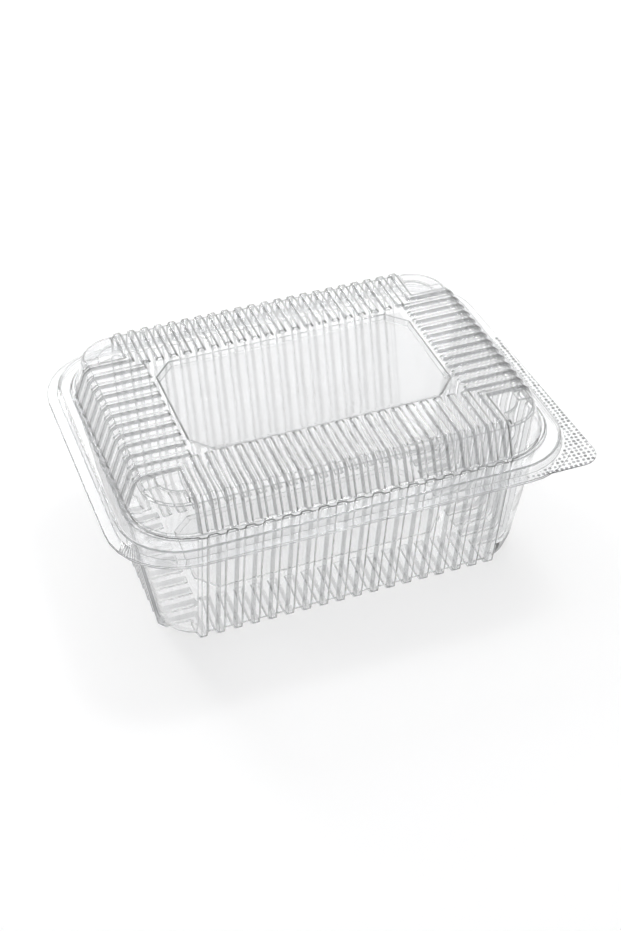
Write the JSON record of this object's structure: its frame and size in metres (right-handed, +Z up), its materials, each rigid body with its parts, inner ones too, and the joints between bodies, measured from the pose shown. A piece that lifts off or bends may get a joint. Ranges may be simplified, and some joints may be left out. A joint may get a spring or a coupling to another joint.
{
  "type": "plastic clamshell pack",
  "caption": "Clear formed clamshell pack: a tapered ribbed tub and a ribbed dome lid with a sunken window and a corner tab, joined by a fold along the back.",
  "frame": {"origin": "middle of the flat panel under the tub's floor, on the surface that the pack stands on, under the middle of the rim", "axes": "+X along the long front edge towards the tab's end, +Y towards the hinge at the back, +Z up"},
  "size_m": [0.1976, 0.1518, 0.0817],
  "materials": {
    "clear_sheet": "clear, glossy"
  },
  "bodies": {
    "base": {"base": "clear_sheet"},
    "lid": {"lid": "clear_sheet"}
  },
  "joints": [
    {"name": "lid_hinge", "type": "hinge", "parent": "base", "child": "lid", "pos_m": [0, 0.07595, 0.06245], "axis": [-1, 0, 0], "range_deg": [0, 180]}
  ]
}
